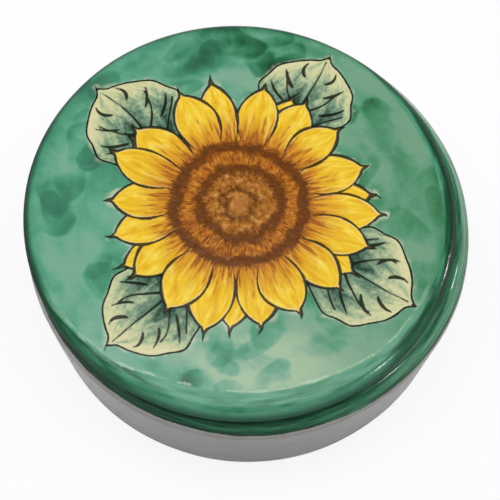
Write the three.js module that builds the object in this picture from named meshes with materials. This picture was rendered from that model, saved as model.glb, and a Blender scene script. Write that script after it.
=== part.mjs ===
// Round candy box with a lift-off lid, hand-made in tin-glazed earthenware.
// Millimetres, +Z up. The origin is the centre of the underside, where the box stands on a table.
import * as THREE from 'three';

// The base: a low drum with a flat underside, whose wall opens a little towards a thickened rim.
const footRadius = 79.4;        // wall where it meets the underside, before rounding
const rimRadius = 81.8;         // widest line, where wall and shoulder meet, before rounding
const baseHeight = 50.1;        // underside to the top of the rim
const wallThickness = 6.6;      // at the foot
const floorThickness = 5.5;
const footRound = 3;            // corner that the wall stands on
const floorFillet = 5;          // inside corner where the clay of wall and floor was smoothed together

// The rim's shoulder slopes in from the widest line to a flat land that carries the lid.
const shoulderRise = 6.3;       // widest line to land
const shoulderInset = 4.5;      // how far the land's outer edge lies inside the widest line
const widestRound = 5;          // softened widest line
const landRound = 2.5;          // softened outer edge of the land
const mouthRound = 1.2;         // softened inner lip

// The lid: a crowned disc with a rounded shoulder and a locating ring underneath.
const lidSetback = 3.3;         // lid's edge, inside the widest line all round
const lidEdge = 6.4;            // thickness at the edge
const lidShoulder = 4.6;        // rounding from the side to the top
const lidLowerRound = 1;        // small rounding where the side meets the underside
const lidCrown = 1.8;           // rise of the top from the shoulder to the middle
const ringHeight = 6;
const ringThickness = 5;
const ringRound = 1.5;          // rounded foot of the ring
const ringFillet = 1.5;         // fillet between the ring's inside and the lid

// A pressed clay disc is never quite round: this lid is a little longer one way than the other.
const lidOutOfRound = 0.7;      // added to the long radius, taken from the short one
const lidLongAxis = 132;        // degrees from +X to the long radius

// The lid lies on the rim where it was put down, pushed back and to the left.
const lidShiftX = -3.3;
const lidShiftY = 0.8;
const seatGap = 0.3;            // between the rim's land and the lid's underside
const ringClearance = 0.6;      // between the ring and the wall, where the pushed lid comes closest

// How finely the curves are cut.
const turnSteps = 72;           // around the axis
const arcSteps = 3;             // half the number of chords in one arc of an outline

const mouthRadius = footRadius - wallThickness;
const lidRadius = rimRadius - lidSetback;
const lidShift = Math.hypot(lidShiftX, lidShiftY);
const ringRadius = mouthRadius - lidShift - lidOutOfRound - ringClearance;

// Draws a half-section through corners, each a radius, a height and a rounding.
function outlineThrough(corners) {
  const places = corners.map(([radius, height]) => new THREE.Vector2(radius, height));
  const outline = new THREE.Path();
  outline.moveTo(places[0].x, places[0].y);
  corners.slice(1).forEach(([, , rounding], index) => {
    const corner = places[index + 1];
    if (rounding) addArc(outline, places[index], corner, places[index + 2], rounding);
    else outline.lineTo(corner.x, corner.y);
  });
  return outline;
}

// Adds the arc that rounds a corner, touching the lines to its neighbours.
function addArc(outline, before, corner, after, rounding) {
  const back = before.clone().sub(corner).normalize();
  const onward = after.clone().sub(corner).normalize();
  const halfAngle = back.angleTo(onward) / 2;
  const reach = rounding / Math.tan(halfAngle);
  const start = corner.clone().addScaledVector(back, reach);
  const end = corner.clone().addScaledVector(onward, reach);
  const inward = back.clone().add(onward).normalize();
  const centre = corner.clone().addScaledVector(inward, rounding / Math.sin(halfAngle));
  const clockwise = back.cross(onward) > 0;
  outline.lineTo(start.x, start.y);
  outline.absarc(
    centre.x, centre.y, rounding,
    Math.atan2(start.y - centre.y, start.x - centre.x),
    Math.atan2(end.y - centre.y, end.x - centre.x),
    clockwise,
  );
}

// Turns a closed half-section, drawn from axis to axis, about +Z.
function turned(outline) {
  const geometry = new THREE.LatheGeometry(outline.getPoints(arcSteps), turnSteps);
  geometry.rotateX(Math.PI / 2);
  return geometry;
}

function glazed(color, roughness) {
  return new THREE.MeshStandardMaterial({ color, roughness, metalness: 0 });
}

function makeBase() {
  const outline = outlineThrough([
    [0, 0],
    [footRadius, 0, footRound],
    [rimRadius, baseHeight - shoulderRise, widestRound],
    [rimRadius - shoulderInset, baseHeight, landRound],
    [mouthRadius, baseHeight, mouthRound],
    [mouthRadius, floorThickness, floorFillet],
    [0, floorThickness],
  ]);
  const base = new THREE.Mesh(turned(outline), glazed(0xe9e6de, 0.25));
  base.name = 'base';
  return base;
}

// The lid is drawn with the underside that meets the rim at height 0.
function lidOutline() {
  const ringInner = ringRadius - ringThickness;
  const flatRadius = lidRadius - lidShoulder;
  const crownRadius = (flatRadius ** 2 + lidCrown ** 2) / (2 * lidCrown);
  const crownStart = Math.acos(flatRadius / crownRadius);
  const outline = outlineThrough([
    [0, 0],
    [ringInner, 0, ringFillet],
    [ringInner, -ringHeight, ringRound],
    [ringRadius, -ringHeight, ringRound],
    [ringRadius, 0],
    [lidRadius, 0, lidLowerRound],
    [lidRadius, lidEdge, lidShoulder],
    [flatRadius, lidEdge],
  ]);
  outline.absarc(0, lidEdge + lidCrown - crownRadius, crownRadius, crownStart, Math.PI / 2, false);
  return outline;
}

function makeLid() {
  const stretch = lidOutOfRound / lidRadius;
  const geometry = turned(lidOutline());
  geometry.scale(1 + stretch, 1 - stretch, 1);
  geometry.rotateZ(THREE.MathUtils.degToRad(lidLongAxis));
  const lid = new THREE.Mesh(geometry, glazed(0x5fa088, 0.2));
  lid.name = 'lid';
  lid.position.set(lidShiftX, lidShiftY, baseHeight + seatGap);
  return lid;
}

const candyBox = new THREE.Group();
candyBox.add(makeBase(), makeLid());

export default candyBox;
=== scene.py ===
import math
import random
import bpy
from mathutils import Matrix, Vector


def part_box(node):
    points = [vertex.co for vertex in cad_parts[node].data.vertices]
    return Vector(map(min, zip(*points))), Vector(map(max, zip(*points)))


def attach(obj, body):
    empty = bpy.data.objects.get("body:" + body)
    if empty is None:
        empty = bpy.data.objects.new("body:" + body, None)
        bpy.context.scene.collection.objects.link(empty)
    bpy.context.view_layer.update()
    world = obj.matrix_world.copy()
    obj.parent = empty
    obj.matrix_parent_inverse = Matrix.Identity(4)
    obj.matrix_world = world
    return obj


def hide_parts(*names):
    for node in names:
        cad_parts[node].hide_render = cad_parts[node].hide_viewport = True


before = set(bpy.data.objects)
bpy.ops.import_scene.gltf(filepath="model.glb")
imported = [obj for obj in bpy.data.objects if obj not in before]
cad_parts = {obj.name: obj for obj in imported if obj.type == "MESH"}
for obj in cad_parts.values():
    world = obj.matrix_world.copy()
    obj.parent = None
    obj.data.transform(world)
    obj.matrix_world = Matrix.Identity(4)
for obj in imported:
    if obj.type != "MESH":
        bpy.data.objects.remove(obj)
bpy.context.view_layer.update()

from types import SimpleNamespace

import bmesh
import bpy
import numpy as np
from mathutils import Matrix, Vector, noise

# A low round candy box of fired clay: a hollow base with a thickened rim and a loose lid, tin-glazed and
# painted by brush. Pieces are shaped in millimetres and brought to metres when they are made.
MM = 0.001

# Places that the frame gives, in mm.
base_low, base_high = (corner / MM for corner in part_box("base"))
lid_low, lid_high = (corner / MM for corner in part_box("lid"))
lid_centre = (lid_low + lid_high) / 2

# Sizes of the base. Its wall opens a little from foot to rim, and a sloping shoulder leads to the lid's seat.
BASE_HEIGHT = base_high.z
WIDEST_RADIUS = (base_high.x - base_low.x) / 2
RIM_RADIUS = WIDEST_RADIUS + 0.1
FOOT_RADIUS = RIM_RADIUS - 2.4
WALL_THICKNESS = 6.6
FLOOR_THICKNESS = 5.5
FOOT_ROUND = 3.0
FLOOR_FILLET = 5.0
SHOULDER_RISE = 6.3
SHOULDER_INSET = 4.5
WIDEST_SETBACK = 1.8
LAND_SETBACK = 1.4
MOUTH_ROUND = 1.2
MOUTH_RADIUS = FOOT_RADIUS - WALL_THICKNESS

# Sizes of the lid. Its underside lies just over the rim.
LID_SETBACK = 3.3
SEAT_GAP = 0.3
LID_EDGE = 6.4
LID_SHOULDER = 4.6
LID_LOWER_ROUND = 1.0
RING_THICKNESS = 5.0
RING_ROUND = 1.5
RING_FILLET = 1.5
RING_CLEARANCE = 0.6
LID_OUT_OF_ROUND = 0.7
LID_LONG_AXIS = math.radians(132)
LID_RADIUS = RIM_RADIUS - LID_SETBACK
LID_STRETCH = LID_OUT_OF_ROUND / LID_RADIUS
LID_UNDERSIDE = BASE_HEIGHT + SEAT_GAP
RING_HEIGHT = LID_UNDERSIDE - lid_low.z
RING_RADIUS = MOUTH_RADIUS - lid_centre.xy.length - LID_OUT_OF_ROUND - RING_CLEARANCE
LID_FLAT = LID_RADIUS - LID_SHOULDER
LID_CROWN = lid_high.z - LID_UNDERSIDE - LID_EDGE

# How finely the round pieces are cut, and how near points are merged or counted as level. The lid is fine
# enough to carry its painted lines.
BASE_STEPS = 288
LID_STEPS = 640
PAINT_STEP = 0.55
TURN_DOUBLINGS = 5
WELD = 0.0005
SLACK = 0.01


# Building round pieces

def half_section(corners):
    """A wire through (radius, height, setback, segments) corners, each rounded from its setback."""
    bm = bmesh.new()
    verts = [bm.verts.new((radius, 0, height)) for radius, height, *_ in corners]
    for start, end in zip(verts, verts[1:]):
        bm.edges.new((start, end))
    for vert, (_, _, *rounding) in zip(verts, corners):
        if rounding:
            setback, segments = rounding
            bmesh.ops.bevel(
                bm, geom=[vert], offset=setback, offset_type="OFFSET", affect="VERTICES", segments=segments,
                profile=0.5, material=-1)
    return bm


def divide_top(bm, inner, outer, longest):
    """Divides the lid's top between two radii into steps no longer than asked."""
    for edge in list(bm.edges):
        near, far = sorted(vert.co.x for vert in edge.verts)
        on_top = min(vert.co.z for vert in edge.verts) > LID_EDGE / 2
        if on_top and near >= inner - SLACK and far <= outer + SLACK:
            cuts = int(edge.calc_length() / longest)
            if cuts:
                bmesh.ops.subdivide_edges(bm, edges=[edge], cuts=cuts)


def turn_round(bm, steps):
    """Turns a half-section about +Z into a solid: one sector is spun, then doubled till it is whole."""
    sectors = 2 ** TURN_DOUBLINGS
    bmesh.ops.spin(
        bm, geom=bm.verts[:] + bm.edges[:], cent=(0, 0, 0), axis=(0, 0, 1), angle=math.tau / sectors,
        steps=steps // sectors)
    for doubling in range(TURN_DOUBLINGS):
        made = bmesh.ops.duplicate(bm, geom=bm.verts[:] + bm.edges[:] + bm.faces[:])["geom"]
        copied = [item for item in made if isinstance(item, bmesh.types.BMVert)]
        turn = Matrix.Rotation(math.tau * 2 ** doubling / sectors, 3, "Z")
        bmesh.ops.rotate(bm, cent=(0, 0, 0), matrix=turn, verts=copied)
    bmesh.ops.remove_doubles(bm, verts=bm.verts[:], dist=WELD)
    bmesh.ops.recalc_face_normals(bm, faces=bm.faces[:])


def press_by_hand(bm, depth, span, seed):
    """Wanders the surface inwards by up to depth, over spans of clay, as hand-built ware does."""
    for vert in bm.verts:
        outward = Vector((vert.co.x, vert.co.y, 0))
        if outward.length < 1:
            continue
        drift = noise.noise(vert.co / span + Vector((seed, 0, 0)))
        share = min(1, max(0, 0.5 + drift)) * outward.length / RIM_RADIUS
        vert.co -= outward.normalized() * depth * share


def piece_from(bm, name, materials):
    """Makes a shaded piece in metres from a bmesh in mm."""
    bmesh.ops.scale(bm, vec=(MM, MM, MM), verts=bm.verts[:])
    mesh = bpy.data.meshes.new(name)
    bm.to_mesh(mesh)
    bm.free()
    for material in materials:
        mesh.materials.append(material)
    mesh.shade_smooth()
    piece = bpy.data.objects.new(name, mesh)
    bpy.context.scene.collection.objects.link(piece)
    return piece


# Colours and nodes

def paint(hex_colour):
    """An sRGB hex colour as linear red, green, blue and alpha."""
    parts = [int(hex_colour[i:i + 2], 16) / 255 for i in (1, 3, 5)]
    return [c / 12.92 if c <= 0.04045 else ((c + 0.055) / 1.055) ** 2.4 for c in parts] + [1.0]


def add(tree, kind, inputs=None, out=0, **settings):
    """Adds a node, sets its fields, sets or links its inputs, and gives one output back if it has any."""
    made = tree.nodes.new("ShaderNode" + kind)
    for field, value in settings.items():
        setattr(made, field, value)
    for key, value in (inputs or {}).items():
        if isinstance(value, bpy.types.NodeSocket):
            tree.links.new(value, made.inputs[key])
        else:
            made.inputs[key].default_value = value
    return made.outputs[out] if made.outputs else None


# Settings and sockets of a Mix node for colours, and the setting of a range that eases in and out.
COLOUR_MIX = {"data_type": "RGBA", "out": 2}
MIX_A, MIX_B = 6, 7
SMOOTH = {"interpolation_type": "SMOOTHSTEP"}


def new_material(name):
    """An empty material and its node tree."""
    material = bpy.data.materials.new(name)
    material.use_nodes = True
    material.node_tree.nodes.clear()
    return material, material.node_tree


def set_ramp(socket, stops):
    """Gives a colour ramp its stops, each a place and a hex colour."""
    ramp = socket.node.color_ramp
    while len(ramp.elements) < len(stops):
        ramp.elements.new(0.5)
    for element, (place, colour) in zip(ramp.elements, stops):
        element.position = place
        element.color = paint(colour)


def in_millimetres(tree, origin=(0.0, 0.0, 0.0)):
    """Places on the piece in mm from an origin, itself in mm."""
    place = add(tree, "TexCoord", out="Object")
    return add(tree, "Mapping", {
        "Vector": place, "Location": [-part for part in origin], "Scale": (1 / MM, 1 / MM, 1 / MM)})


def round_places(tree, millimetres):
    """A place seen from above, its distance from the axis, its heading from there, and its level."""
    flat = add(tree, "VectorMath", {0: millimetres, 1: (1.0, 1.0, 0.0)}, operation="MULTIPLY")
    radius = add(tree, "VectorMath", {0: flat}, out="Value", operation="LENGTH")
    heading = add(tree, "VectorMath", {0: flat}, operation="NORMALIZE")
    level = add(tree, "SeparateXYZ", {"Vector": millimetres}, out="Z")
    return flat, radius, heading, level


GLAZE_IOR = 1.45
GLAZE_SPECULAR = 0.25


def finish_glaze(tree, millimetres, colour, paint_height=None, dull=None):
    """Glossy fired glaze, with a wave about 9 mm long from the brush and the kiln, and pits under 1 mm."""
    wave = add(tree, "TexNoise", {"Vector": millimetres, "Scale": 0.11, "Detail": 2.0})
    pits = add(tree, "TexNoise", {"Vector": millimetres, "Scale": 1.4, "Detail": 2.0})
    height = add(tree, "Math", {0: pits, 1: 0.06, 2: wave}, operation="MULTIPLY_ADD")
    if paint_height is not None:
        height = add(tree, "Math", {0: paint_height, 1: 0.10, 2: height}, operation="MULTIPLY_ADD")
    relief = add(tree, "Bump", {"Height": height, "Strength": 1.0, "Distance": 0.35 * MM})
    gloss = add(tree, "MapRange", {
        "Value": pits, "From Min": 0.3, "From Max": 0.7, "To Min": 0.12, "To Max": 0.22})
    if dull is not None:
        gloss = add(tree, "Math", {0: dull, 1: 0.45, 2: gloss}, operation="MULTIPLY_ADD")
    surface = add(tree, "BsdfPrincipled", {
        "Base Color": colour, "Roughness": gloss, "IOR": GLAZE_IOR, "Specular IOR Level": GLAZE_SPECULAR,
        "Normal": relief})
    add(tree, "OutputMaterial", {"Surface": surface})


# The painter's plan of the lid, in mm from the lid's middle

HEART_RADIUS = 25.5
PETAL_COUNT = 18
PETAL_ROOT = 19.0
PETAL_TIP = 50.0
PETAL_HALF_WIDTH = 7.6
BACK_PETALS = (0, 3, 7, 10, 13, 16)
LEAVES = (
    # place of the leaf's foot round the bloom, its lean from there, length and half-width
    (147, -10, 41, 19.5),
    (57, 10, 40, 18.0),
    (-36, 9, 41, 19.0),
    (-124, -10, 39, 18.0),
)
LEAF_FOOT = 31.5
BRUSH_LINE = 0.40
OUTLINE_POINTS = 34
DABS = 86
THICK_DABS = 19
DAB_REACH = 77.0
# Distances from the drawing are kept up to this one.
FAR = 9.0


def unit(degrees):
    """The direction at an angle from +X."""
    return np.array([math.cos(math.radians(degrees)), math.sin(math.radians(degrees))])


def crosswise(direction):
    """The direction a quarter turn to the left of another."""
    return np.array([-direction[1], direction[0]])


def ease(low, high, value):
    """A smooth step from 0 to 1 as value goes from low to high."""
    t = np.clip((value - low) / (high - low), 0, 1)
    return t * t * (3 - 2 * t)


def lay_stroke(field, spots, path, half_widths):
    """Lowers field to each spot's distance from the edge of a brush stroke along path."""
    path = np.asarray(path)
    middle = path.mean(axis=0)
    reach = np.linalg.norm(path - middle, axis=1).max() + FAR
    away = spots - middle
    near = np.nonzero((away * away).sum(axis=1) < reach * reach)[0]
    close = spots[near]
    least = field[near]
    for start, end, wide, next_wide in zip(path, path[1:], half_widths, half_widths[1:]):
        leg = end - start
        along = np.clip((close - start) @ leg / max(leg @ leg, 1e-9), 0, 1)
        gap = np.linalg.norm(close - start - along[:, None] * leg, axis=1)
        least = np.minimum(least, gap - (wide + (next_wide - wide) * along))
    field[near] = least


class Blade:
    """One petal or leaf: a blade along an axis, as wide as its outline formula says.

    late puts its widest part further out, fullness squares its shoulders, bend bows its middle line, point
    draws out its tip, and waves from phase ruffle its sides."""

    def __init__(self, foot, heading, length, half_width, late, fullness, bend, point, waves=0.0, phase=0.0):
        self.foot = foot
        self.along_axis = heading
        self.across_axis = crosswise(heading)
        self.length = length
        self.half_width = half_width
        self.late = late
        self.fullness = fullness
        self.bend = bend
        self.point = point
        self.waves = waves
        self.phase = phase

    def width_at(self, along):
        """Half-width of the blade at 0 to 1 along it."""
        body = np.clip(along / (1 - self.point), 0, 1)
        shape = np.sin(np.pi * body ** self.late) ** self.fullness
        drawn_out = 1.5 * np.clip(1 - along, 0, 2 * self.point)
        shape = np.maximum(shape, drawn_out * (along > 0.5))
        return self.half_width * shape * (1 + self.waves * np.sin(along * 23 + self.phase))

    def middle_at(self, along):
        """Sideways drift of the blade's middle line."""
        return self.bend * (np.sin(np.pi * np.clip(along, 0, 1)) + 0.6 * along ** 3)

    def place(self, along, across):
        """A point of the blade, by its share along and its mm across from the middle line."""
        side = self.middle_at(along) + across
        return self.foot + np.outer(along * self.length, self.along_axis) + np.outer(side, self.across_axis)

    def measure(self, spots):
        """Share along, share across and whether inside, for each spot."""
        along = (spots - self.foot) @ self.along_axis / self.length
        across = (spots - self.foot) @ self.across_axis - self.middle_at(along)
        width = np.maximum(self.width_at(along), 0.01)
        inside = (along > 0) & (along < 1) & (np.abs(across) < width)
        return along, across / width, inside

    def side(self, sign, start=0.0):
        """One side of the outline, from foot to tip."""
        along = start + (1 - start) * np.linspace(0, 1, OUTLINE_POINTS) ** 0.9
        return along, self.place(along, sign * self.width_at(along))


class Painting:
    """What the brushes lay on the lid, as smooth values at each spot."""

    def __init__(self, spots):
        self.spots = spots
        count = len(spots)
        self.ink = np.full(count, FAR)
        self.petal = np.zeros((count, 3))
        self.leaf = np.zeros((count, 3))
        self.petal[:, 0] = -FAR
        self.leaf[:, 0] = -FAR
        self.tone = np.zeros(count)
        self.pigment = np.zeros(count)

    def lay_blade(self, blade, field, tone):
        """Covers what is under a petal or leaf, and notes where each spot lies on it."""
        along, across, inside = blade.measure(self.spots)
        gap = np.full(len(self.spots), FAR)
        for sign in (1, -1):
            _, path = blade.side(sign)
            lay_stroke(gap, self.spots, path, np.zeros(len(path)))
        self.ink[inside] = FAR
        field[inside, 0] = gap[inside]
        field[inside, 1] = along[inside]
        field[inside, 2] = across[inside]
        self.tone[inside] = tone
        beside = ~inside & (field[:, 0] < 0)
        field[beside, 0] = np.maximum(field[beside, 0], -gap[beside])


def pressed_line(rng, along, full, light_start):
    """Half-widths of a line that starts light, presses down and lifts, with an unsteady hand."""
    swell = ease(light_start, light_start + 0.35, along)
    shake = 1 + 0.2 * np.sin(along * rng.uniform(8, 19) + rng.uniform(0, 6))
    return (0.12 + full * swell) * shake


def paint_petal(painting, rng, degrees, tip, half_width):
    """A petal, its outline pressed down each side, and a hook where the brush left its tip."""
    heading = unit(degrees + rng.uniform(-3, 3))
    foot = unit(degrees) * PETAL_ROOT
    petal = Blade(foot, heading, tip - PETAL_ROOT, half_width, 1.25, 0.66, rng.uniform(-2, 2), 0.07)
    painting.lay_blade(petal, painting.petal, rng.uniform(0.02, 1))
    for sign in (1, -1):
        along, path = petal.side(sign, start=0.08)
        press = pressed_line(rng, along, BRUSH_LINE * rng.uniform(0.7, 1.2), 0.12)
        lay_stroke(painting.ink, painting.spots, path, press)
    hook = rng.uniform(0.8, 3.0)
    swing = unit(math.degrees(math.atan2(heading[1], heading[0])) + rng.uniform(-50, 50))
    tip_point = petal.place(np.array([1.0]), 0.0)[0]
    path = [tip_point - heading * 1.4, tip_point, tip_point + swing * hook]
    lay_stroke(painting.ink, painting.spots, path, [0.32, BRUSH_LINE * 1.25, 0.15])


def paint_leaf(painting, rng, place, lean, length, half_width):
    """A leaf, its thin outline, a midrib and veins, and bold dashes between them."""
    foot = unit(place) * LEAF_FOOT
    leaf = Blade(
        foot, unit(place + lean), length, half_width, 1.0, 0.56, rng.uniform(-3, 3), 0.07, 0.03,
        rng.uniform(0, 6))
    painting.lay_blade(leaf, painting.leaf, rng.uniform(0.02, 1))
    for sign in (1, -1):
        along, path = leaf.side(sign, start=0.02)
        press = np.maximum(pressed_line(rng, along, BRUSH_LINE * 0.5, 0.2), 0.29)
        lay_stroke(painting.ink, painting.spots, path, press)
    tip = leaf.place(np.array([0.97, 1.0, 1.04]), np.array([0.0, 0.0, rng.uniform(-0.8, 0.8)]))
    lay_stroke(painting.ink, painting.spots, tip, [0.3, 0.42, 0.2])
    # Midrib, then veins that leave it near the foot, then bold dashes towards the margin.
    along = np.linspace(0.02, 0.93, 18)
    press = np.maximum(BRUSH_LINE * (1.7 - 1.3 * along), 0.34)
    lay_stroke(painting.ink, painting.spots, leaf.place(along, 0.6 * np.sin(along * 7)), press)
    share = np.linspace(0, 1, 12)
    for sign in (1, -1):
        for start, run, spread in ((0.10, 0.34, 0.84), (0.30, 0.36, 0.66)):
            along = start + rng.uniform(-0.03, 0.03) + run * share ** 1.3
            across = sign * spread * share ** 0.9 * leaf.width_at(along)
            press = np.maximum(BRUSH_LINE * 1.6 * (1 - 0.75 * share), 0.36)
            lay_stroke(painting.ink, painting.spots, leaf.place(along, across), press)
        for start, reach in ((0.36, 0.84), (0.54, 0.76), (0.70, 0.66)):
            along = start + rng.uniform(-0.02, 0.02) + 0.16 * share ** 1.3
            across = sign * (reach - 0.42 * (1 - share)) * leaf.width_at(along)
            press = BRUSH_LINE * rng.uniform(0.9, 1.4) * (0.6 + 0.8 * np.sin(np.pi * share ** 0.7))
            lay_stroke(painting.ink, painting.spots, leaf.place(along, across), press)


def paint_ground(painting, rng):
    """Overlapping dabs of thin green, laid wet: each dried darkest along one rounded end."""
    x, y = painting.spots.T
    wander = np.column_stack((
        1.6 * np.sin(y / 6.1) + 0.9 * np.sin(x / 3.7 + y / 5.3),
        1.6 * np.sin(x / 5.4 + 1.0) + 0.9 * np.sin(y / 3.3 - x / 6.7)))
    spots = painting.spots + wander
    for number in range(DABS):
        # The last ones are dabbed thickly round the back of the bloom and to its left.
        thick = number >= DABS - THICK_DABS
        radius = rng.uniform(53, 68) if thick else DAB_REACH * math.sqrt(rng.uniform(0.2, 1))
        degrees = rng.uniform(52, 222) if thick else rng.uniform(0, 360)
        heading = unit(degrees + 90 * rng.choice((-1, 1)) + rng.gauss(0, 35))
        away = spots - unit(degrees) * radius
        along = away @ heading / rng.uniform(7, 13)
        across = away @ crosswise(heading) / rng.uniform(4.5, 8.5)
        # Crisp and dark where the brush stopped, faint where it set out.
        lead = ease(-0.5, 0.8, along)
        fill = 1 - ease(0.3 + 0.62 * lead, 1.06, np.hypot(along, across))
        strength = rng.uniform(0.28, 0.58) if thick else rng.uniform(0.10, 0.40)
        painting.pigment += strength * fill * (0.15 + 0.85 * lead)
    # Where dabs overlap, the wet brush takes up some of the colour again.
    painting.pigment = 0.8 * np.tanh(painting.pigment / 0.8)


def paint_lid(spots):
    """The whole plan: a green ground, leaves, a back row and a front row of petals."""
    rng = random.Random(41)
    painting = Painting(spots)
    paint_ground(painting, rng)
    for place, lean, length, half_width in LEAVES:
        paint_leaf(painting, rng, place, lean, length, half_width)
    # Yellow was first laid all round the heart, so no green shows between the petals' roots.
    painting.petal[np.linalg.norm(spots, axis=1) < PETAL_ROOT + 12] = (3.0, 0.35, 0.0)
    pitch = 360 / PETAL_COUNT
    for number in BACK_PETALS:
        degrees = (number + 0.5) * pitch + rng.uniform(-3, 3)
        paint_petal(painting, rng, degrees, PETAL_TIP - 1.0, PETAL_HALF_WIDTH * 0.85)
    order = list(range(PETAL_COUNT))
    rng.shuffle(order)
    for number in order:
        tip = PETAL_TIP + rng.uniform(-3, 3)
        half_width = PETAL_HALF_WIDTH * rng.uniform(0.88, 1.08)
        paint_petal(painting, rng, number * pitch + rng.uniform(-2.5, 2.5), tip, half_width)
    return painting


# Materials

MANGANESE = "#14190B"


def brushed_round(tree, heading, distance, around, outward, detail=4.0):
    """Noise that follows the round: `around` gives its detail along the turn, `outward` its detail per mm."""
    turned = add(tree, "VectorMath", {0: heading, 1: (around, around, 0.0)}, operation="MULTIPLY")
    run = add(tree, "Math", {0: distance, 1: outward}, operation="MULTIPLY")
    lifted = add(tree, "CombineXYZ", {"Z": run})
    place = add(tree, "VectorMath", {0: turned, 1: lifted}, operation="ADD")
    return add(tree, "TexNoise", {"Vector": place, "Scale": 1.0, "Detail": detail, "Roughness": 0.6})


def lid_places(tree):
    """Places on the lid in mm, what the brushes laid there, and the noises that its paints share."""
    at = SimpleNamespace()
    at.plate = in_millimetres(tree, (lid_centre.x, lid_centre.y, LID_UNDERSIDE))
    at.flat, at.radius, at.heading, at.level = round_places(tree, at.plate)
    at.ink_gap = add(tree, "Attribute", out="Fac", attribute_name="ink")
    at.petal = add(tree, "Attribute", out="Vector", attribute_name="petal")
    at.leaf = add(tree, "Attribute", out="Vector", attribute_name="leaf")
    ground = add(tree, "Attribute", out="Vector", attribute_name="ground")
    at.petal_gap = add(tree, "SeparateXYZ", {"Vector": at.petal}, out="X")
    at.leaf_gap, at.leaf_along, at.leaf_across = (
        add(tree, "SeparateXYZ", {"Vector": at.leaf}, out=axis) for axis in "XYZ")
    at.pigment, at.edge_gap, at.tone = (
        add(tree, "SeparateXYZ", {"Vector": ground}, out=axis) for axis in "XYZ")
    # Pigment grain of about 1.5 mm, blotches of about 6 mm and clouds of about 20 mm.
    grain = add(tree, "TexNoise", {"Vector": at.plate, "Scale": 0.65, "Detail": 5.0, "Roughness": 0.62})
    at.shiver = add(tree, "Math", {0: grain, 1: 0.5}, operation="SUBTRACT")
    at.blotch = add(tree, "TexNoise", {
        "Vector": at.plate, "Scale": 0.16, "Detail": 3.0, "Roughness": 0.5, "Distortion": 0.6})
    at.cloud = add(tree, "TexNoise", {
        "Vector": at.plate, "Scale": 0.045, "Detail": 3.0, "Roughness": 0.5, "Distortion": 0.8})
    # Brush hairs drawn outwards, about 1 mm and 0.5 mm apart at the heart's edge.
    at.spokes = brushed_round(tree, at.heading, at.radius, 24.0, 0.12, detail=3.0)
    at.fine_spokes = brushed_round(tree, at.heading, at.radius, 46.0, 0.20)
    return at


def green_ground(tree, at):
    """Copper green from thin and pale to thick and dark. It was laid thinnest towards the front."""
    # Sweeps of the wet brush about 40 mm long, which took up some of the dabs.
    sweep = brushed_round(tree, at.heading, at.radius, 1.8, 0.10, detail=1.0)
    backward = add(tree, "VectorMath", {
        0: at.flat, 1: (-1.0, 1.0, 0.0)}, out="Value", operation="DOT_PRODUCT")
    wash = at.pigment
    for layer, share in (
            (at.cloud, 0.75), (sweep, -1.1), (at.blotch, 0.55), (at.shiver, 0.16), (backward, 0.0005)):
        wash = add(tree, "Math", {0: layer, 1: share, 2: wash}, operation="MULTIPLY_ADD")
    front = add(tree, "VectorMath", {0: at.flat, 1: (9.0, -60.0, 0.0)}, operation="SUBTRACT")
    front = add(tree, "VectorMath", {0: front, 1: (0.034, 0.070, 0.0)}, operation="MULTIPLY")
    front = add(tree, "VectorMath", {0: front}, out="Value", operation="LENGTH")
    thinned = add(tree, "MapRange", {
        "Value": front, "From Min": 0.3, "From Max": 1.5, "To Min": -0.25, "To Max": 0.0}, **SMOOTH)
    pooled = add(tree, "MapRange", {
        "Value": at.edge_gap, "From Min": 1.5, "From Max": 5.5, "To Min": 0.22, "To Max": 0.0})
    for change in (thinned, pooled):
        wash = add(tree, "Math", {0: wash, 1: change}, operation="ADD")
    depth = add(tree, "MapRange", {"Value": wash, "From Min": -0.22, "From Max": 0.86})
    # Away from the front the wash is nowhere thinner than this.
    thinnest = add(tree, "Math", {0: thinned, 1: 0.9, 2: 0.20}, operation="MULTIPLY_ADD")
    depth = add(tree, "Math", {0: depth, 1: thinnest, 2: 0.16}, operation="SMOOTH_MAX")
    green = add(tree, "ValToRGB", {"Fac": depth})
    set_ramp(green, (
        (0.00, "#A5BF9E"), (0.16, "#88AF95"), (0.32, "#69A387"), (0.48, "#519371"), (0.64, "#3B815D"),
        (0.80, "#256642"), (1.0, "#15442A")))
    # A little bluer to the left and yellower to the right.
    sideways = add(tree, "SeparateXYZ", {"Vector": at.flat}, out="X")
    for start, end, most, tint in ((20.0, -55.0, 0.32, "#62AE94"), (5.0, 60.0, 0.30, "#4C7F50")):
        share = add(tree, "MapRange", {
            "Value": sideways, "From Min": start, "From Max": end, "To Max": most}, **SMOOTH)
        green = add(tree, "Mix", {0: share, MIX_A: green, MIX_B: paint(tint)}, **COLOUR_MIX)
    return green, wash


def pale_halo(tree, at, colour):
    """Bare glaze where the green stops short of the drawing: along leaves, and here and there at petals."""
    halo = 0.0
    for gap, start, end, most in ((at.leaf_gap, 2.4, 6.0, 0.7), (at.petal_gap, 2.6, 5.0, 0.6)):
        near = add(tree, "Math", {0: at.blotch, 1: 8.0, 2: gap}, operation="MULTIPLY_ADD")
        near = add(tree, "MapRange", {
            "Value": near, "From Min": start, "From Max": end, "To Max": most}, **SMOOTH)
        halo = add(tree, "Math", {0: near, 1: halo}, operation="MAXIMUM")
    return add(tree, "Mix", {0: halo, MIX_A: colour, MIX_B: paint("#E2E0C4")}, **COLOUR_MIX)


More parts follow.
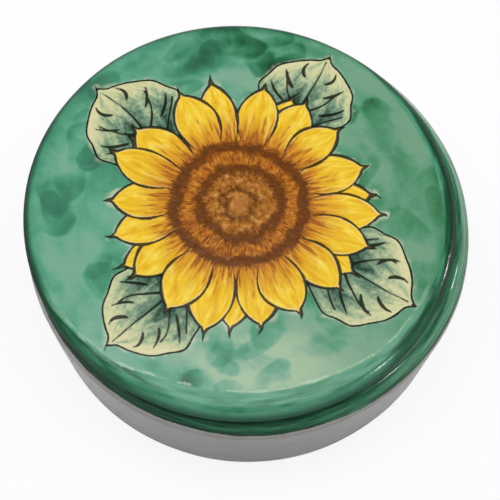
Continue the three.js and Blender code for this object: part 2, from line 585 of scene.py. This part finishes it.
def leaf_fill(tree, at, colour):
    """Pale yellow-green, then a blue-grey green wash run out from the leaf's foot, grainy where it dried."""
    run = add(tree, "VectorMath", {0: at.leaf, 1: (0.0, 2.6, 3.2)}, operation="MULTIPLY")
    streak = add(tree, "TexNoise", {
        "Vector": run, "Scale": 1.3, "Detail": 5.0, "Roughness": 0.6, "Distortion": 0.6})
    margin = add(tree, "Math", {0: at.leaf_across, 1: at.leaf_across}, operation="MULTIPLY")
    shade = 0.74
    for layer, share in ((at.leaf_along, -1.0), (margin, -0.28), (streak, 1.45), (at.shiver, 0.6)):
        shade = add(tree, "Math", {0: layer, 1: share, 2: shade}, operation="MULTIPLY_ADD")
    shade = add(tree, "MapRange", {"Value": shade, "From Min": 0.31, "From Max": 1.27})
    leaf = add(tree, "ValToRGB", {"Fac": shade})
    set_ramp(leaf, (
        (0.0, "#DCD7A9"), (0.28, "#CFCF9F"), (0.44, "#B4C098"), (0.56, "#91A886"), (0.72, "#6C8A72"),
        (0.88, "#466452"), (1.0, "#2C4737")))
    on_leaf = add(tree, "MapRange", {"Value": at.leaf_gap, "From Min": -0.15, "From Max": 0.15})
    colour = add(tree, "Mix", {0: on_leaf, MIX_A: colour, MIX_B: leaf}, **COLOUR_MIX)
    # A thin unbroken line round it, which the pressed brush lines then go over.
    outline = add(tree, "Math", {0: at.leaf_gap}, operation="ABSOLUTE")
    outline = add(tree, "Math", {0: at.shiver, 1: 0.3, 2: outline}, operation="MULTIPLY_ADD")
    outline = add(tree, "MapRange", {
        "Value": outline, "From Min": 0.20, "From Max": 0.42, "To Min": 0.92, "To Max": 0.0})
    return add(tree, "Mix", {0: outline, MIX_A: colour, MIX_B: paint(MANGANESE)}, **COLOUR_MIX)


def petal_fill(tree, at, colour, on_petal):
    """Yellow in strokes about 3 mm wide along each petal, then orange-brown drawn out from the heart."""
    own = add(tree, "Math", {0: at.tone, 1: 30.0}, operation="MULTIPLY")
    own = add(tree, "CombineXYZ", {"Z": own})
    run = add(tree, "VectorMath", {0: at.petal, 1: (0.0, 1.7, 1.5), 2: own}, operation="MULTIPLY_ADD")
    wash = add(tree, "TexNoise", {
        "Vector": run, "Scale": 1.5, "Detail": 3.0, "Roughness": 0.55, "Distortion": 0.8})
    yellow = add(tree, "ValToRGB", {"Fac": wash})
    set_ramp(yellow, (
        (0.28, "#DFA724"), (0.42, "#EDBC2B"), (0.54, "#F4CC38"), (0.66, "#F8DA60"), (0.78, "#F8E28C")))
    # Paler where the yellow stops short of its line.
    short = add(tree, "Math", {0: wash, 1: 2.8, 2: at.petal_gap}, operation="MULTIPLY_ADD")
    short = add(tree, "MapRange", {
        "Value": short, "From Min": 1.45, "From Max": 2.4, "To Min": 0.8, "To Max": 0.0}, **SMOOTH)
    yellow = add(tree, "Mix", {0: short, MIX_A: yellow, MIX_B: paint("#F3E5AE")}, **COLOUR_MIX)
    # Dry streaks along the blade, about 1 mm wide.
    dry_run = add(tree, "VectorMath", {0: at.petal, 1: (0.0, 2.4, 9.0), 2: own}, operation="MULTIPLY_ADD")
    dry = add(tree, "TexNoise", {"Vector": dry_run, "Scale": 1.0, "Detail": 3.0, "Roughness": 0.6})
    dry = add(tree, "MapRange", {"Value": dry, "From Min": 0.58, "From Max": 0.74, "To Max": 0.40})
    yellow = add(tree, "Mix", {0: dry, MIX_A: yellow, MIX_B: paint("#DB9A26")}, **COLOUR_MIX)
    # A soft stain round the heart, then separate strokes over it.
    stain = at.radius
    for layer, share in ((at.spokes, -20.0), (at.cloud, -10.0)):
        stain = add(tree, "Math", {0: layer, 1: share, 2: stain}, operation="MULTIPLY_ADD")
    stain = add(tree, "MapRange", {
        "Value": stain, "From Min": 10.0, "From Max": 24.0, "To Min": 0.92, "To Max": 0.0}, **SMOOTH)
    petal = add(tree, "Mix", {0: stain, MIX_A: yellow, MIX_B: paint("#CE8329")}, **COLOUR_MIX)
    strokes = 1.18
    for layer, share in ((at.radius, -0.026), (at.fine_spokes, 0.5), (at.spokes, 1.2)):
        strokes = add(tree, "Math", {0: layer, 1: share, 2: strokes}, operation="MULTIPLY_ADD")
    strokes = add(tree, "MapRange", {
        "Value": strokes, "From Min": 1.24, "From Max": 1.46, "To Max": 0.85}, **SMOOTH)
    brown = add(tree, "Mix", {
        0: at.fine_spokes, MIX_A: paint("#74380F"), MIX_B: paint("#B4622A")}, **COLOUR_MIX)
    petal = add(tree, "Mix", {0: strokes, MIX_A: petal, MIX_B: brown}, **COLOUR_MIX)
    return add(tree, "Mix", {0: on_petal, MIX_A: colour, MIX_B: petal}, **COLOUR_MIX)


def drawn_lines(tree, at, colour, on_petal):
    """Dark brush lines of manganese, a little broken where the brush ran dry."""
    line = add(tree, "Math", {0: at.shiver, 1: 0.45, 2: at.ink_gap}, operation="MULTIPLY_ADD")
    line = add(tree, "MapRange", {
        "Value": line, "From Min": -0.12, "From Max": 0.12, "To Min": 0.95, "To Max": 0.0})
    dark = add(tree, "Mix", {0: on_petal, MIX_A: paint(MANGANESE), MIX_B: paint("#33250C")}, **COLOUR_MIX)
    return add(tree, "Mix", {0: line, MIX_A: colour, MIX_B: dark}, **COLOUR_MIX)


def ring_drawn(tree, distance, radius, half_width):
    """Distance from the edge of a drawn ring, less than 0 on it."""
    ring = add(tree, "Math", {0: distance, 1: radius}, operation="SUBTRACT")
    ring = add(tree, "Math", {0: ring}, operation="ABSOLUTE")
    return add(tree, "Math", {0: ring, 1: half_width}, operation="SUBTRACT")


def heart_fill(tree, at, colour):
    """The heart: iron brown hatched outwards, mottled in the middle, with two dark rings and a bead."""
    drawn = -6.0
    for layer, share in ((at.blotch, 6.0), (at.cloud, 6.0), (at.radius, 1.0)):
        drawn = add(tree, "Math", {0: layer, 1: share, 2: drawn}, operation="MULTIPLY_ADD")
    hatch = add(tree, "Math", {0: at.shiver, 1: 0.6, 2: at.fine_spokes}, operation="MULTIPLY_ADD")
    heart = add(tree, "ValToRGB", {"Fac": hatch})
    set_ramp(heart, ((0.34, "#743B0D"), (0.44, "#9A5717"), (0.52, "#B56C1F"), (0.66, "#D08A30")))
    mottle = add(tree, "TexNoise", {"Vector": at.plate, "Scale": 0.5, "Detail": 4.0, "Roughness": 0.6})
    middle = add(tree, "ValToRGB", {"Fac": mottle})
    set_ramp(middle, (
        (0.30, "#66360D"), (0.42, "#915719"), (0.54, "#B0712B"), (0.66, "#C98E48"), (0.76, "#E0BC8A")))
    in_middle = add(tree, "MapRange", {
        "Value": drawn, "From Min": 11.0, "From Max": 14.5, "To Min": 1.0, "To Max": 0.0}, **SMOOTH)
    heart = add(tree, "Mix", {0: in_middle, MIX_A: heart, MIX_B: middle}, **COLOUR_MIX)
    rings = ring_drawn(tree, drawn, 23.2, 2.1)
    for radius, half_width in ((14.0, 1.9), (5.2, 1.0)):
        ring = ring_drawn(tree, drawn, radius, half_width)
        rings = add(tree, "Math", {0: rings, 1: ring}, operation="MINIMUM")
    fringe = add(tree, "Math", {0: 0.5, 1: at.fine_spokes}, operation="SUBTRACT")
    for layer, share in ((fringe, 9.0), (at.shiver, 2.8)):
        rings = add(tree, "Math", {0: layer, 1: share, 2: rings}, operation="MULTIPLY_ADD")
    rings = add(tree, "MapRange", {
        "Value": rings, "From Min": -0.8, "From Max": 0.9, "To Min": 0.92, "To Max": 0.0}, **SMOOTH)
    dark = add(tree, "Mix", {0: mottle, MIX_A: paint("#3C1C05"), MIX_B: paint("#7A4410")}, **COLOUR_MIX)
    heart = add(tree, "Mix", {0: rings, MIX_A: heart, MIX_B: dark}, **COLOUR_MIX)
    bead = add(tree, "Math", {0: at.shiver, 1: 3.0, 2: drawn}, operation="MULTIPLY_ADD")
    bead = add(tree, "MapRange", {
        "Value": bead, "From Min": 2.2, "From Max": 3.6, "To Min": 0.85, "To Max": 0.0}, **SMOOTH)
    light = add(tree, "Mix", {0: mottle, MIX_A: paint("#8A4E1A"), MIX_B: paint("#CF8F45")}, **COLOUR_MIX)
    heart = add(tree, "Mix", {0: bead, MIX_A: heart, MIX_B: light}, **COLOUR_MIX)
    edge = at.radius
    for layer, share in ((fringe, 8.0), (at.blotch, 3.0)):
        edge = add(tree, "Math", {0: layer, 1: share, 2: edge}, operation="MULTIPLY_ADD")
    on_heart = add(tree, "MapRange", {
        "Value": edge, "From Min": HEART_RADIUS + 2.4, "From Max": HEART_RADIUS + 1.0}, **SMOOTH)
    # The slip is thick here, and its lumps catch the light.
    relief = add(tree, "Math", {0: mottle, 1: on_heart}, operation="MULTIPLY")
    return add(tree, "Mix", {0: on_heart, MIX_A: colour, MIX_B: heart}, **COLOUR_MIX), relief


def edge_band(tree, at, colour):
    """A band brushed round the edge, broad and darkest at the front and right, a thin line elsewhere, and
    painted shade down the side.
    """
    broad, forward, rightward, leftward = (
        add(tree, "VectorMath", {0: at.heading, 1: (x, y, 0.0)}, out="Value", operation="DOT_PRODUCT")
        for x, y in ((0.72, -0.69), (0.1, -1.0), (0.95, 0.05), (-0.80, -0.60)))
    width = add(tree, "MapRange", {
        "Value": broad, "From Min": -0.45, "From Max": 0.35, "To Min": 1.4, "To Max": 5.6}, **SMOOTH)
    bulge = add(tree, "MapRange", {
        "Value": forward, "From Min": 0.75, "From Max": 1.0, "To Max": 3.0}, **SMOOTH)
    width = add(tree, "Math", {0: width, 1: bulge}, operation="ADD")
    sweep = brushed_round(tree, at.heading, at.radius, 4.5, 0.5)
    gap = add(tree, "Math", {0: at.edge_gap, 1: width}, operation="SUBTRACT")
    for layer, share in ((sweep, 2.6), (at.shiver, 0.5)):
        gap = add(tree, "Math", {0: layer, 1: share, 2: gap}, operation="MULTIPLY_ADD")
    on_band = add(tree, "MapRange", {
        "Value": gap, "From Min": 0.8, "From Max": 1.4, "To Min": 0.92, "To Max": 0.0}, **SMOOTH)
    darker = add(tree, "MapRange", {
        "Value": rightward, "From Min": 0.45, "From Max": 0.95, "To Max": 0.36}, **SMOOTH)
    near_edge = add(tree, "MapRange", {"Value": at.edge_gap, "From Min": 5.6, "From Max": 2.2}, **SMOOTH)
    depth = add(tree, "Math", {0: darker, 1: near_edge, 2: sweep}, operation="MULTIPLY_ADD")
    darker = add(tree, "MapRange", {
        "Value": leftward, "From Min": 0.75, "From Max": 1.0, "To Max": 0.16}, **SMOOTH)
    depth = add(tree, "Math", {0: depth, 1: darker}, operation="ADD")
    band = add(tree, "ValToRGB", {"Fac": depth})
    set_ramp(band, (
        (0.30, "#6AA88B"), (0.46, "#54987A"), (0.60, "#3A7F5F"), (0.74, "#1C5538"), (0.90, "#0B3A22")))
    colour = add(tree, "Mix", {0: on_band, MIX_A: colour, MIX_B: band}, **COLOUR_MIX)
    # Here and there a pale line, where band and ground don't meet.
    bare = add(tree, "Math", {0: gap, 1: 1.7}, operation="SUBTRACT")
    bare = add(tree, "Math", {0: bare}, operation="ABSOLUTE")
    bare = add(tree, "Math", {0: at.blotch, 1: -3.4, 2: bare}, operation="MULTIPLY_ADD")
    bare = add(tree, "MapRange", {
        "Value": bare, "From Min": -1.75, "From Max": -1.25, "To Min": 0.55, "To Max": 0.0}, **SMOOTH)
    at_band = add(tree, "MapRange", {"Value": forward, "From Min": 0.3, "From Max": 0.8})
    bare = add(tree, "Math", {0: bare, 1: at_band}, operation="MULTIPLY")
    colour = add(tree, "Mix", {0: bare, MIX_A: colour, MIX_B: paint("#B9D3B4")}, **COLOUR_MIX)
    # Dark colour down the side: partly thick paint where the brush ran round it, partly painted shade where
    # the side turns under towards the seam. The painted shade is narrower and lighter at the front.
    less_shade_at_front = add(tree, "MapRange", {"Value": forward, "From Min": 0.2, "From Max": 0.8}, **SMOOTH)
    side = at.edge_gap
    for layer, share in ((sweep, 1.6), (less_shade_at_front, 1.9)):
        side = add(tree, "Math", {0: layer, 1: share, 2: side}, operation="MULTIPLY_ADD")
    side = add(tree, "MapRange", {
        "Value": side, "From Min": 1.7, "From Max": 4.6, "To Min": 0.94, "To Max": 0.0}, **SMOOTH)
    # Colours of the painted shade and thick paint down the side, lighter at the front.
    dark = add(tree, "Mix", {0: less_shade_at_front, MIX_A: paint("#0A3320"), MIX_B: paint("#124C31")}, **COLOUR_MIX)
    return add(tree, "Mix", {0: side, MIX_A: colour, MIX_B: dark}, **COLOUR_MIX)


def painted_lid_glaze():
    """Maiolica: white tin glaze painted raw with metal oxides, then fired glossy.

    Copper gives the green, antimony the yellow, iron the orange-brown, and manganese the dark lines."""
    material, tree = new_material("maiolica_painted_lid")
    at = lid_places(tree)
    colour, wash = green_ground(tree, at)
    colour = pale_halo(tree, at, colour)
    colour = leaf_fill(tree, at, colour)
    on_petal = add(tree, "MapRange", {"Value": at.petal_gap, "From Min": -0.1, "From Max": 0.1})
    colour = petal_fill(tree, at, colour, on_petal)
    colour = drawn_lines(tree, at, colour, on_petal)
    colour, lumps = heart_fill(tree, at, colour)
    colour = edge_band(tree, at, colour)
    # The underside is left white.
    painted = add(tree, "Math", {0: at.shiver, 1: 0.5, 2: at.level}, operation="MULTIPLY_ADD")
    painted = add(tree, "MapRange", {"Value": painted, "From Min": -0.1, "From Max": 0.15})
    colour = add(tree, "Mix", {0: painted, MIX_A: paint("#E4E0DA"), MIX_B: colour}, **COLOUR_MIX)
    thickness = add(tree, "Math", {0: lumps, 1: 9.0, 2: wash}, operation="MULTIPLY_ADD")
    # Down the side the colour is thick and dries duller.
    dull = add(tree, "MapRange", {"Value": at.level, "From Min": LID_EDGE - 0.9, "From Max": LID_EDGE - 1.5})
    finish_glaze(tree, at.plate, colour, paint_height=thickness, dull=dull)
    return material


def white_base_glaze():
    """White tin glaze over clay, dipped and glossy, with the rim's shoulder painted in copper green. Painted
    shade greys the white and darkens the green in places, and painted light lightens the green to the right.
    """
    material, tree = new_material("tin_glaze_white_green_rim")
    millimetres = in_millimetres(tree)
    _, radius, heading, level = round_places(tree, millimetres)
    # Grain of about 1.5 mm and clouds of about 20 mm.
    grain = add(tree, "TexNoise", {"Vector": millimetres, "Scale": 0.6, "Detail": 4.0})
    cloud = add(tree, "TexNoise", {"Vector": millimetres, "Scale": 0.045, "Detail": 2.0})
    # Partly painted shade: the white glaze is written a light grey, darker than the white of the lid's
    # underside, as the wall looks in shade. Clouds vary it at random.
    white = add(tree, "Mix", {0: cloud, MIX_A: paint("#C3C1BF"), MIX_B: paint("#A9A7A8")}, **COLOUR_MIX)
    # The clay shows faintly through where the glaze is thin over the foot's round.
    over_foot = add(tree, "Math", {0: grain, 1: 2.4, 2: level}, operation="MULTIPLY_ADD")
    over_foot = add(tree, "MapRange", {
        "Value": over_foot, "From Min": 1.6, "From Max": 3.2, "To Min": 0.6, "To Max": 0.0}, **SMOOTH)
    white = add(tree, "Mix", {0: over_foot, MIX_A: white, MIX_B: paint("#A98B72")}, **COLOUR_MIX)

    # Green brushed along the rim, streaks about 20 mm long and 1 mm wide. Painted shade darkens it towards
    # the front and by the seam, painted light makes it lighter to the right, and pooled paint darkens its
    # lower edge.
    climb = add(tree, "Math", {0: level, 1: radius}, operation="SUBTRACT")
    streak = brushed_round(tree, heading, climb, 5.0, 0.8, detail=5.0)
    # Painted shade: the green is darker towards the front.
    front = add(tree, "VectorMath", {
        0: heading, 1: (-0.45, -0.89, 0.0)}, out="Value", operation="DOT_PRODUCT")
    front = add(tree, "MapRange", {
        "Value": front, "From Min": 0.0, "From Max": 0.8, "To Max": 0.18}, **SMOOTH)
    # Darker away from the middle of the roll: painted shade by the seam under the lid, and paint pooled at
    # its lower edge.
    shade_and_pooling_off_middle = add(tree, "Math", {0: BASE_HEIGHT - 2.8, 1: level}, operation="SUBTRACT")
    shade_and_pooling_off_middle = add(tree, "Math", {0: shade_and_pooling_off_middle}, operation="ABSOLUTE")
    # To the right the green is made lighter as painted light, and the green ends lower there.
    rightward = add(tree, "SeparateXYZ", {"Vector": heading}, out="X")
    tint = streak
    for layer, share in ((shade_and_pooling_off_middle, 0.11), (front, 1.0), (rightward, -0.12)):
        tint = add(tree, "Math", {0: layer, 1: share, 2: tint}, operation="MULTIPLY_ADD")
    green = add(tree, "ValToRGB", {"Fac": tint})
    set_ramp(green, (
        (0.30, "#7DB795"), (0.48, "#5A9C78"), (0.66, "#347353"), (0.85, "#1A4A33"), (1.0, "#0F3022")))

    # It ends in a pooled dark line at the widest line, and just inside the mouth.
    height = -0.7
    for layer, share in ((cloud, 1.4), (grain, 0.5), (level, 1.0)):
        height = add(tree, "Math", {0: layer, 1: share, 2: height}, operation="MULTIPLY_ADD")
    outer_limit = add(tree, "Math", {0: rightward, 1: -0.5, 2: BASE_HEIGHT - 4.9}, operation="MULTIPLY_ADD")
    limit = add(tree, "MapRange", {
        "Value": radius, "From Min": MOUTH_RADIUS + MOUTH_ROUND, "From Max": MOUTH_RADIUS + MOUTH_ROUND + 1.0,
        "To Min": BASE_HEIGHT - 1.8, "To Max": outer_limit})
    above = add(tree, "Math", {0: height, 1: limit}, operation="SUBTRACT")
    on_green = add(tree, "MapRange", {"Value": above, "From Min": -0.12, "From Max": 0.12})
    ochre = add(tree, "MapRange", {
        "Value": above, "From Min": -0.6, "From Max": -0.3, "To Max": 0.6}, **SMOOTH)
    some = add(tree, "MapRange", {"Value": streak, "From Min": 0.50, "From Max": 0.60})
    ochre = add(tree, "Math", {0: ochre, 1: some}, operation="MULTIPLY")
    colour = add(tree, "Mix", {0: ochre, MIX_A: white, MIX_B: paint("#A98557")}, **COLOUR_MIX)
    colour = add(tree, "Mix", {0: on_green, MIX_A: colour, MIX_B: green}, **COLOUR_MIX)
    finish_glaze(tree, millimetres, colour)
    return material


def bare_clay():
    """Fired red clay, wiped clean of glaze where the box stands: dry and matt, with grit of about 0.5 mm."""
    material, tree = new_material("fired_red_clay")
    millimetres = in_millimetres(tree)
    grit = add(tree, "TexNoise", {"Vector": millimetres, "Scale": 1.8, "Detail": 6.0, "Roughness": 0.7})
    smear = add(tree, "TexNoise", {"Vector": millimetres, "Scale": 0.06, "Detail": 3.0})
    tint = add(tree, "Math", {0: grit, 1: 0.5, 2: smear}, operation="MULTIPLY_ADD")
    clay = add(tree, "ValToRGB", {"Fac": tint})
    set_ramp(clay, ((0.45, "#B98264"), (0.75, "#CB9A7B"), (1.0, "#DDB79C")))
    relief = add(tree, "Bump", {"Height": grit, "Strength": 0.6, "Distance": 0.12 * MM})
    surface = add(tree, "BsdfPrincipled", {
        "Base Color": clay, "Roughness": 0.88, "IOR": 1.5, "Normal": relief})
    add(tree, "OutputMaterial", {"Surface": surface})
    return material


# Pieces

def build_base():
    """The drum with its floor, wall and rim, glazed all over but for the face it stands on."""
    bm = half_section((
        (0, 0),
        (FOOT_RADIUS, 0, FOOT_ROUND, 6),
        (RIM_RADIUS, BASE_HEIGHT - SHOULDER_RISE, WIDEST_SETBACK, 6),
        (RIM_RADIUS - SHOULDER_INSET, BASE_HEIGHT, LAND_SETBACK, 6),
        (MOUTH_RADIUS, BASE_HEIGHT, MOUTH_ROUND, 4),
        (MOUTH_RADIUS, FLOOR_THICKNESS, FLOOR_FILLET, 6),
        (0, FLOOR_THICKNESS),
    ))
    upright = [edge for edge in bm.edges if abs(edge.verts[0].co.z - edge.verts[1].co.z) > BASE_HEIGHT / 2]
    bmesh.ops.subdivide_edges(bm, edges=upright, cuts=5)
    turn_round(bm, BASE_STEPS)
    press_by_hand(bm, depth=0.35, span=34.0, seed=3.0)
    for face in bm.faces:
        if face.calc_center_median().z < 2 * SLACK:
            face.material_index = 1
    base = piece_from(bm, "glazed_base", (white_base_glaze(), bare_clay()))
    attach(base, "base")
    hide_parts("base")


def shape_lid():
    """The lid's disc, shoulder, crown and locating ring, a little longer one way."""
    ring_inner = RING_RADIUS - RING_THICKNESS
    bm = half_section((
        (0, 0),
        (ring_inner, 0, RING_FILLET, 3),
        (ring_inner, -RING_HEIGHT, RING_ROUND, 3),
        (RING_RADIUS, -RING_HEIGHT, RING_ROUND, 3),
        (RING_RADIUS, 0),
        (LID_RADIUS, 0, LID_LOWER_ROUND, 3),
        (LID_RADIUS, LID_EDGE, LID_SHOULDER, 7),
        (HEART_RADIUS, LID_EDGE),
        (0, LID_EDGE),
    ))
    divide_top(bm, HEART_RADIUS, LID_FLAT, PAINT_STEP)
    divide_top(bm, 0, HEART_RADIUS, PAINT_STEP * 3)
    for vert in bm.verts:
        if vert.co.z > LID_EDGE - SLACK:
            vert.co.z += LID_CROWN * (1 - (vert.co.x / LID_FLAT) ** 2)
    turn_round(bm, LID_STEPS)
    press_by_hand(bm, depth=0.3, span=38.0, seed=11.0)
    bmesh.ops.scale(bm, vec=(1 + LID_STRETCH, 1 - LID_STRETCH, 1), verts=bm.verts[:])
    bmesh.ops.rotate(bm, cent=(0, 0, 0), matrix=Matrix.Rotation(LID_LONG_AXIS, 3, "Z"), verts=bm.verts[:])
    return bm


def lid_reach(directions):
    """The lid's outer radius along each angle: an oval with its long axis turned."""
    turned = directions - LID_LONG_AXIS
    return LID_RADIUS / np.hypot(np.cos(turned) / (1 + LID_STRETCH), np.sin(turned) / (1 - LID_STRETCH))


def store(mesh, name, values):
    """Keeps one value or three for each vertex, for the material to read."""
    kind, field = ("FLOAT", "value") if values.ndim == 1 else ("FLOAT_VECTOR", "vector")
    layer = mesh.attributes.new(name, kind, "POINT")
    layer.data.foreach_set(field, values.astype(np.float32).ravel())


def build_lid():
    """The painted lid, lying on the rim."""
    bm = shape_lid()
    points = np.array([vert.co[:] for vert in bm.verts])
    spots, levels = points[:, :2], points[:, 2]
    bmesh.ops.translate(bm, vec=(lid_centre.x, lid_centre.y, LID_UNDERSIDE), verts=bm.verts[:])
    lid = piece_from(bm, "painted_lid", (painted_lid_glaze(),))
    top = levels > LID_EDGE - LID_SHOULDER
    painting = paint_lid(spots[top])
    edge_gap = lid_reach(np.arctan2(spots[:, 1], spots[:, 0])) - np.linalg.norm(spots, axis=1)
    ink = np.full(len(spots), FAR)
    petal, leaf, ground = (np.zeros((len(spots), 3)) for _ in range(3))
    petal[:, 0] = -FAR
    leaf[:, 0] = -FAR
    ground[:, 1] = edge_gap
    ink[top] = painting.ink
    petal[top] = painting.petal
    leaf[top] = painting.leaf
    ground[top, 0] = painting.pigment
    ground[top, 2] = painting.tone
    for name, values in (("ink", ink), ("petal", petal), ("leaf", leaf), ("ground", ground)):
        store(lid.data, name, values)
    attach(lid, "lid")
    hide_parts("lid")


# Studio

SWEEP_RADIUS = 2600.0
SWEEP_HEIGHT = 1500.0
SWEEP_ROUND = 900.0
PAPER_GLOW = 0.86
ROOM_LIGHT = 0.30
FILL_DISTANCE = 1.16
FILL_HEIGHT = 0.36
FILL_WIDTH = 0.7
GLINT_WIDTH = 0.05
GLINT_POWER = 2.0


def studio_paper():
    """Matt pale paper. Seen directly or in the glaze it is white, and it throws little light back."""
    material, tree = new_material("pale_paper_sweep")
    to_camera = add(tree, "LightPath", out="Is Camera Ray")
    seen = to_camera
    for name in ("Is Glossy Ray", "Is Transmission Ray"):
        seen = add(tree, "Math", {0: seen, 1: add(tree, "LightPath", out=name)}, operation="MAXIMUM")
    tint = add(tree, "Mix", {0: seen, MIX_A: paint("#5C5C5C"), MIX_B: paint("#FCFCFC")}, **COLOUR_MIX)
    paper = add(tree, "BsdfDiffuse", {"Color": tint})
    glow = add(tree, "Emission", {"Color": paint("#FFFFFF"), "Strength": 1.0})
    share = add(tree, "Math", {0: to_camera, 1: PAPER_GLOW}, operation="MULTIPLY")
    surface = add(tree, "MixShader", {0: share, 1: paper, 2: glow})
    add(tree, "OutputMaterial", {"Surface": surface})
    return material


def build_sweep():
    """A floor that curves up into a wall all round."""
    bm = half_section((
        (0, 0),
        (SWEEP_RADIUS, 0, SWEEP_ROUND, 8),
        (SWEEP_RADIUS, SWEEP_HEIGHT),
    ))
    turn_round(bm, 64)
    bmesh.ops.reverse_faces(bm, faces=bm.faces[:])
    sweep = piece_from(bm, "paper_sweep", (studio_paper(),))


def add_softbox(name, place, aim, width, depth, power, gives_light=True, gives_glints=True):
    """A soft lamp that the camera doesn't see."""
    lamp = bpy.data.lights.new(name, "AREA")
    lamp.shape = "RECTANGLE"
    lamp.size = width
    lamp.size_y = depth
    lamp.energy = power
    holder = bpy.data.objects.new(name, lamp)
    holder.location = place
    holder.rotation_euler = (Vector(aim) - Vector(place)).to_track_quat("-Z", "Y").to_euler()
    holder.visible_camera = False
    holder.visible_diffuse = gives_light
    holder.visible_glossy = gives_glints
    bpy.context.scene.collection.objects.link(holder)


def light_studio():
    """A broad soft lamp overhead, a weaker one on three sides, two that only glint on the rim, a dim room."""
    target = (0, 0, 0.05)
    add_softbox("overhead", (0.0, -0.03, 0.95), target, 1.5, 0.45, 7.0)
    for name, degrees, power in (("front_fill", -90, 1.9), ("right_fill", 42, 3.8), ("left_fill", 142, 3.8)):
        x, y = FILL_DISTANCE * unit(degrees)
        add_softbox(name, (x, y, FILL_HEIGHT), target, FILL_WIDTH, FILL_WIDTH, power, gives_glints=False)
    for name, place in (("window", (0.865, 0.115, 0.25)), ("side_lamp", (0.69, -0.41, 0.45))):
        add_softbox(name, place, target, GLINT_WIDTH, GLINT_WIDTH, GLINT_POWER, gives_light=False)
    world = bpy.data.worlds.new("dim_room")
    world.use_nodes = True
    background = world.node_tree.nodes["Background"]
    background.inputs["Color"].default_value = paint("#FFFFFF")
    background.inputs["Strength"].default_value = ROOM_LIGHT
    bpy.context.scene.world = world
    bpy.context.scene.view_settings.view_transform = "Standard"


# The camera looks down on the box from the front, as the photograph does.
VIEW_ELEVATION = math.radians(66.41)
VIEW_ROLL = math.radians(2.30)
VIEW_DISTANCE = 442.3
VIEW_AIM = (0.92, -12.09, BASE_HEIGHT - 3.7)
LENS = 87.78


def place_camera():
    """The camera, back from its aim along the line of sight and rolled a little, as it was held."""
    data = bpy.data.cameras.new("camera")
    data.lens = LENS
    data.sensor_width = 36
    data.clip_start = 0.01
    data.clip_end = 20
    camera = bpy.data.objects.new("camera", data)
    back = Vector((0, -math.cos(VIEW_ELEVATION), math.sin(VIEW_ELEVATION)))
    camera.location = (Vector(VIEW_AIM) + back * VIEW_DISTANCE) * MM
    upright = Matrix.Rotation(math.pi / 2 - VIEW_ELEVATION, 4, "X")
    camera.rotation_euler = (upright @ Matrix.Rotation(VIEW_ROLL, 4, "Z")).to_euler()
    bpy.context.scene.collection.objects.link(camera)
    bpy.context.scene.camera = camera


place_camera()
build_base()
build_lid()
build_sweep()
light_studio()
